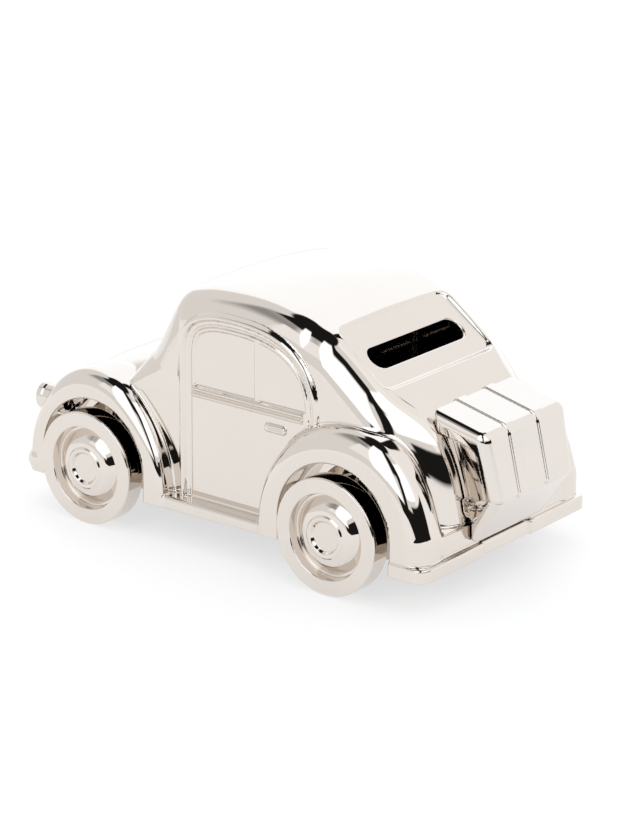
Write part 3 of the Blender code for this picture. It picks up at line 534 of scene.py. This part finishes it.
def turned(name, profile, centre, axis, sides):
    """A lathe form about X or Y, from (radius, height) points with normals."""
    ring = rounded(profile)
    angle = 2 * math.pi * np.arange(sides) / sides
    ca, sa = np.cos(angle), np.sin(angle)
    verts, normals, faces = [], [], []
    starts = []
    for r, h, nr, nh in ring:
        starts.append((len(verts), r < 1e-6))
        if r < 1e-6:
            verts.append((0, h, 0))
            normals.append((0, math.copysign(1, nh), 0))
        else:
            for k in range(sides):
                verts.append((r * ca[k], h, r * sa[k]))
                normals.append((nr * ca[k], nh, nr * sa[k]))
    for (a, pa), (b, pb) in zip(starts, starts[1:]):
        for k in range(sides):
            m = (k + 1) % sides
            if pa:
                faces.append((a, b + m, b + k))
            elif pb:
                faces.append((a + k, a + m, b))
            else:
                faces.append((a + k, a + m, b + m, b + k))
    verts, normals = np.array(verts), np.array(normals)
    sign = -1 if axis == "-Y" else 1
    if axis == "X":
        verts, normals = verts[:, [1, 0, 2]], normals[:, [1, 0, 2]]
        faces = [f[::-1] for f in faces]
    else:
        verts[:, 1] *= sign
        normals[:, 1] *= sign
        if sign < 0:
            faces = [f[::-1] for f in faces]
    mesh = bpy.data.meshes.new(name)
    mesh.from_pydata(((verts + np.array(centre)) * MM).tolist(), [], faces)
    mesh.update()
    mesh.shade_smooth()
    mesh.normals_split_custom_set_from_vertices(normals.tolist())
    obj = bpy.data.objects.new(name, mesh)
    bpy.context.scene.collection.objects.link(obj)
    return obj


WHEEL_IN = 28.75
WHEEL = [
    (0.0, 8.35), (3.7, 8.35, 0.3), (4.3, 9.2, 0.4), (5.1, 9.3, 0.5), (5.6, 8.85, 0.35), (7.3, 8.5, 3.0), (9.9, 6.2, 0.5), (10.65, 6.2, 0.35), (11.0, 9.0, 0.4),
    (15.0, 9.0, 0.5), (15.0, 3.2, 0.5), (12.0, 3.2, 0.3), (11.6, 4.3, 0.3), (4.6, 4.3, 0.5), (4.2, 0.0, 0.3), (1.7, 0.0, 0.1), (1.7, 6.65, 0.1), (0.0, 6.65),
]
SIDES = 144
wheels = []
for end, cx, ride in (("front", FRONT_X, "front_wheelset"), ("rear", REAR_X, "rear_wheelset")):
    for side, sign in (("left", 1), ("right", -1)):
        obj = turned(f"{end}_{side}_wheel", WHEEL, (cx, sign * WHEEL_IN, AXLE_Z), "Y" if sign > 0 else "-Y", SIDES)
        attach(obj, ride)
        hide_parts(f"wheel_{end}_{side}")
        wheels.append(obj)
LAMP = [(0.0, 9.1), (2.3, 9.0, 1.6), (3.0, 8.3, 0.2), (3.25, 8.3, 0.2), (3.5, 8.6, 0.2), (3.8, 8.3, 0.4), (3.8, 6.9, 0.5), (3.6, 6.3, 0.4), (3.5, 1.0, 0.5), (2.6, 0.0, 0.3), (0.0, 0.0)]
lamps = []
for side, sign in (("left", 1), ("right", -1)):
    obj = turned(f"lamp_{side}", LAMP, (58.0, sign * 29.0, 28.3), "X", 96)
    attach(obj, "chassis")
    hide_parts(f"headlamp_{side}")
    lamps.append(obj)
trunk = mesh_of("trunk", trunk_field, (-71.0, 0, 12.2), (-45.0, 18.0, 47.6), FINE)
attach(trunk, "chassis")
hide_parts("luggage_trunk")
print("trunk", len(trunk.data.vertices), len(trunk.data.polygons))
body = mesh_of("body", body_field, (-61.8, 0, 8.2), (70.4, 36.2, 69.4), H)
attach(body, "chassis")
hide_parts("body_shell")
print("body", len(body.data.vertices), len(body.data.polygons))


# ---------------------------------------------------------------- materials
def tune(name, colour, metallic, rough, grain=60.0, spread=0.3, tint=0.05, bump=0.0, fine=900.0):
    """A Principled surface whose roughness and tone vary a little with a noise."""
    m = bpy.data.materials.new(name)
    m.use_nodes = True
    tree = m.node_tree
    shader = tree.nodes["Principled BSDF"]
    shader.inputs["Metallic"].default_value = metallic
    at = tree.nodes.new("ShaderNodeTexCoord")
    noise = tree.nodes.new("ShaderNodeTexNoise")
    noise.inputs["Scale"].default_value = grain
    noise.inputs["Detail"].default_value = 4.0
    tree.links.new(at.outputs["Object"], noise.inputs["Vector"])
    gloss = tree.nodes.new("ShaderNodeMapRange")
    gloss.inputs["From Min"].default_value, gloss.inputs["From Max"].default_value = 0.3, 0.7
    gloss.inputs["To Min"].default_value = rough * (1 - spread)
    gloss.inputs["To Max"].default_value = rough * (1 + spread)
    tree.links.new(noise.outputs["Fac"], gloss.inputs["Value"])
    tree.links.new(gloss.outputs["Result"], shader.inputs["Roughness"])
    ramp = tree.nodes.new("ShaderNodeValToRGB")
    low, high = ramp.color_ramp.elements
    low.position, high.position = 0.35, 0.65
    low.color = (*[c * (1 - tint) for c in colour], 1)
    high.color = (*[min(1.0, c * (1 + tint)) for c in colour], 1)
    tree.links.new(noise.outputs["Fac"], ramp.inputs["Fac"])
    tree.links.new(ramp.outputs["Color"], shader.inputs["Base Color"])
    if bump:
        skin = tree.nodes.new("ShaderNodeTexNoise")
        skin.inputs["Scale"].default_value = fine
        skin.inputs["Detail"].default_value = 2.0
        tree.links.new(at.outputs["Object"], skin.inputs["Vector"])
        relief = tree.nodes.new("ShaderNodeBump")
        relief.inputs["Strength"].default_value = bump
        relief.inputs["Distance"].default_value = 0.0001
        tree.links.new(skin.outputs["Fac"], relief.inputs["Height"])
        tree.links.new(relief.outputs["Normal"], shader.inputs["Normal"])
    return m


PLATE_BODY = tune("plate_body", (0.762, 0.708, 0.655), 1.0, 0.022, 45.0, 0.5, 0.006)
PLATE_TRUNK = tune("plate_trunk", (0.768, 0.716, 0.667), 1.0, 0.026, 50.0, 0.5, 0.006)
PLATE_WHEEL = tune("plate_wheel", (0.760, 0.704, 0.650), 1.0, 0.026, 55.0, 0.5, 0.006)
PLATE_LAMP = tune("plate_lamp", (0.762, 0.708, 0.660), 1.0, 0.026, 60.0, 0.5, 0.006)
STEEL = tune("ground_steel", (0.56, 0.56, 0.56), 1.0, 0.22, 300.0, 0.3, 0.06, 0.15, 2500.0)
ZINC = tune("zinc_plated_steel", (0.52, 0.52, 0.53), 1.0, 0.34, 250.0, 0.3, 0.08, 0.15, 1800.0)
SPRING = tune("blued_spring_steel", (0.10, 0.11, 0.15), 1.0, 0.30, 200.0, 0.3, 0.2, 0.1, 1500.0)
BRASS = tune("plain_brass", (0.74, 0.50, 0.20), 1.0, 0.28, 220.0, 0.3, 0.08, 0.1, 1500.0)
ACETAL = tune("white_acetal", (0.74, 0.72, 0.66), 0.0, 0.42, 150.0, 0.2, 0.03, 0.1, 1500.0)
BLACK = tune("black_moulding", (0.018, 0.018, 0.020), 0.0, 0.48, 180.0, 0.25, 0.15, 0.35, 2600.0)
RUBBER = tune("grey_rubber", (0.055, 0.055, 0.060), 0.0, 0.78, 160.0, 0.15, 0.12, 0.3, 2200.0)

body.data.materials.append(PLATE_BODY)
trunk.data.materials.append(PLATE_TRUNK)
for obj in wheels:
    obj.data.materials.append(PLATE_WHEEL)
for obj in lamps:
    obj.data.materials.append(PLATE_LAMP)


def look_for(name):
    if "screw" in name:
        return ZINC
    if "bush" in name:
        return BRASS
    if "gear" in name:
        return ACETAL
    if "axle" in name or "shaft" in name:
        return STEEL
    if "mainspring" in name:
        return SPRING
    if "plug" in name:
        return RUBBER
    return BLACK


own = {body, trunk, *wheels, *lamps}
for obj in bpy.data.objects:
    if obj.type == "MESH" and obj not in own:
        for place in obj.material_slots:
            place.material = look_for(obj.name)

# ---------------------------------------------------------------- studio
world = bpy.data.worlds.new("studio")
bpy.context.scene.world = world
world.use_nodes = True
wt = world.node_tree
wt.nodes.clear()


def math_node(kind, *args):
    node = wt.nodes.new("ShaderNodeMath")
    node.operation = kind
    for socket, value in zip(node.inputs, args):
        if isinstance(value, (int, float)):
            socket.default_value = value
        else:
            wt.links.new(value, socket)
    return node.outputs[0]


def ramp_down(value, edge, soft):
    """One below the edge, zero above it, with a smooth step between."""
    node = wt.nodes.new("ShaderNodeMapRange")
    node.interpolation_type = "SMOOTHSTEP"
    wt.links.new(value, node.inputs["Value"])
    node.inputs["From Min"].default_value = edge - soft / 2
    node.inputs["From Max"].default_value = edge + soft / 2
    node.inputs["To Min"].default_value = 1.0
    node.inputs["To Max"].default_value = 0.0
    return node.outputs["Result"]


direction = wt.nodes.new("ShaderNodeTexCoord").outputs["Generated"]
split = wt.nodes.new("ShaderNodeSeparateXYZ")
wt.links.new(direction, split.inputs[0])
DX, DY, DZ = split.outputs
RAD = math.pi / 180
height = math_node("ARCSINE", DZ)


def patch(az, el, soft, lean=0.0):
    """Mask of a panel from one bearing to another and one height to another,
    all in degrees. Lean moves it along by so many degrees for each degree up."""
    mid, half = (az[0] + az[1]) / 2 * RAD, (az[1] - az[0]) / 2 * RAD
    c, s_ = math.cos(mid), math.sin(mid)
    px = math_node("ADD", math_node("MULTIPLY", DX, c), math_node("MULTIPLY", DY, s_))
    py = math_node("ADD", math_node("MULTIPLY", DX, -s_), math_node("MULTIPLY", DY, c))
    bearing = math_node("ARCTAN2", py, px)
    if lean:
        bearing = math_node("SUBTRACT", bearing, math_node("MULTIPLY", math_node("SUBTRACT", height, el[0] * RAD), lean))
    side = ramp_down(math_node("ABSOLUTE", bearing), half, soft * RAD)
    tall = ramp_down(math_node("ABSOLUTE", math_node("SUBTRACT", height, (el[0] + el[1]) / 2 * RAD)), (el[1] - el[0]) / 2 * RAD, soft * RAD)
    return math_node("MULTIPLY", side, tall)


# value, bearing, height, softness, lean: each panel lies over the ones before it
PANELS = [
    (0.88, (-180, 180.1), (-90, 90), 1.0, 0.0),  # plain wall
    (1.27, (-92, -24), (-40, 74), 10.0, 0.0),  # bright wall behind the car
    (1.08, (-150, -92), (-20, 70), 8.0, 0.0),  # right of it
    (1.12, (180, 212), (18, 72), 5.0, 0.0),  # pale wall at the car's tail
    (0.34, (20, 72), (44, 62), 14.0, 0.0),  # shade high in front
    (1.08, (57, 78), (21, 48), 4.0, 0.0),  # glow beside the soft box
    (1.50, (76, 118), (14, 70), 3.0, 0.0),  # soft box on the left
    (1.50, (139, 190), (25, 60), 3.0, 0.0),  # soft box over the camera
    (0.012, (100, 152), (-3, 13), 3.0, 0.0),  # dark room past the table's edge
    (0.012, (150, 226), (1, 19), 3.0, 0.0),
    (0.012, (119, 131), (10, 48), 2.0, 0.35),  # gap between the soft boxes
    (0.012, (122, 146), (44, 75), 4.0, 0.0),
    (0.012, (-112, -88), (47, 73), 4.0, 0.0),
    (0.012, (26, 77), (61, 80), 5.0, 0.0),
    (0.012, (-180, 180.1), (72, 100), 4.0, 0.0),  # dark ceiling
]
level = None
for value, az, el, soft, lean in PANELS:
    if level is None:
        level = value
        continue
    mask = patch(az, el, soft, lean) if az[1] - az[0] < 359 else math_node("SUBTRACT", 1.0, ramp_down(height, el[0] * RAD, soft * RAD))
    node = wt.nodes.new("ShaderNodeMix")
    node.data_type = "FLOAT"
    wt.links.new(mask, node.inputs[0])
    if isinstance(level, float):
        node.inputs[2].default_value = level
    else:
        wt.links.new(level, node.inputs[2])
    node.inputs[3].default_value = value
    level = node.outputs[0]
tone = wt.nodes.new("ShaderNodeCombineColor")
wt.links.new(level, tone.inputs[0])
for k, cool in ((1, 0.045), (2, 0.095)):  # the brightest panels are a little cooler
    lift = wt.nodes.new("ShaderNodeMapRange")
    wt.links.new(level, lift.inputs["Value"])
    lift.inputs["From Min"].default_value, lift.inputs["From Max"].default_value = 1.10, 1.25
    lift.inputs["To Min"].default_value, lift.inputs["To Max"].default_value = 1.0, 1.0 + cool
    wt.links.new(math_node("MULTIPLY", level, lift.outputs["Result"]), tone.inputs[k])
ground = wt.nodes.new("ShaderNodeBackground")
wt.links.new(tone.outputs[0], ground.inputs["Color"])
ground.inputs["Strength"].default_value = 1.0
wt.links.new(ground.outputs[0], wt.nodes.new("ShaderNodeOutputWorld").inputs[0])
bpy.context.scene.view_settings.view_transform = "Standard"

key = bpy.data.lights.new("overhead", "AREA")
key.shape = "DISK"
key.size = 1.6
key.energy = 9.0
key_obj = bpy.data.objects.new("overhead", key)
key_obj.location = (0.0, 0.0, 1.5)
key_obj.visible_glossy = False
bpy.context.scene.collection.objects.link(key_obj)

floor = bpy.data.meshes.new("floor")
s = 4.0
floor.from_pydata([(-s, -s, 0), (s, -s, 0), (s, s, 0), (-s, s, 0)], [], [(0, 1, 2, 3)])
floor_obj = bpy.data.objects.new("floor", floor)
bpy.context.scene.collection.objects.link(floor_obj)
PALE = tune("pale_floor", (0.30, 0.30, 0.30), 0.0, 0.75, 8.0, 0.1, 0.004)
PALE.node_tree.nodes["Principled BSDF"].inputs["Emission Color"].default_value = (1, 1, 1, 1)
PALE.node_tree.nodes["Principled BSDF"].inputs["Emission Strength"].default_value = 0.66
floor.materials.append(PALE)
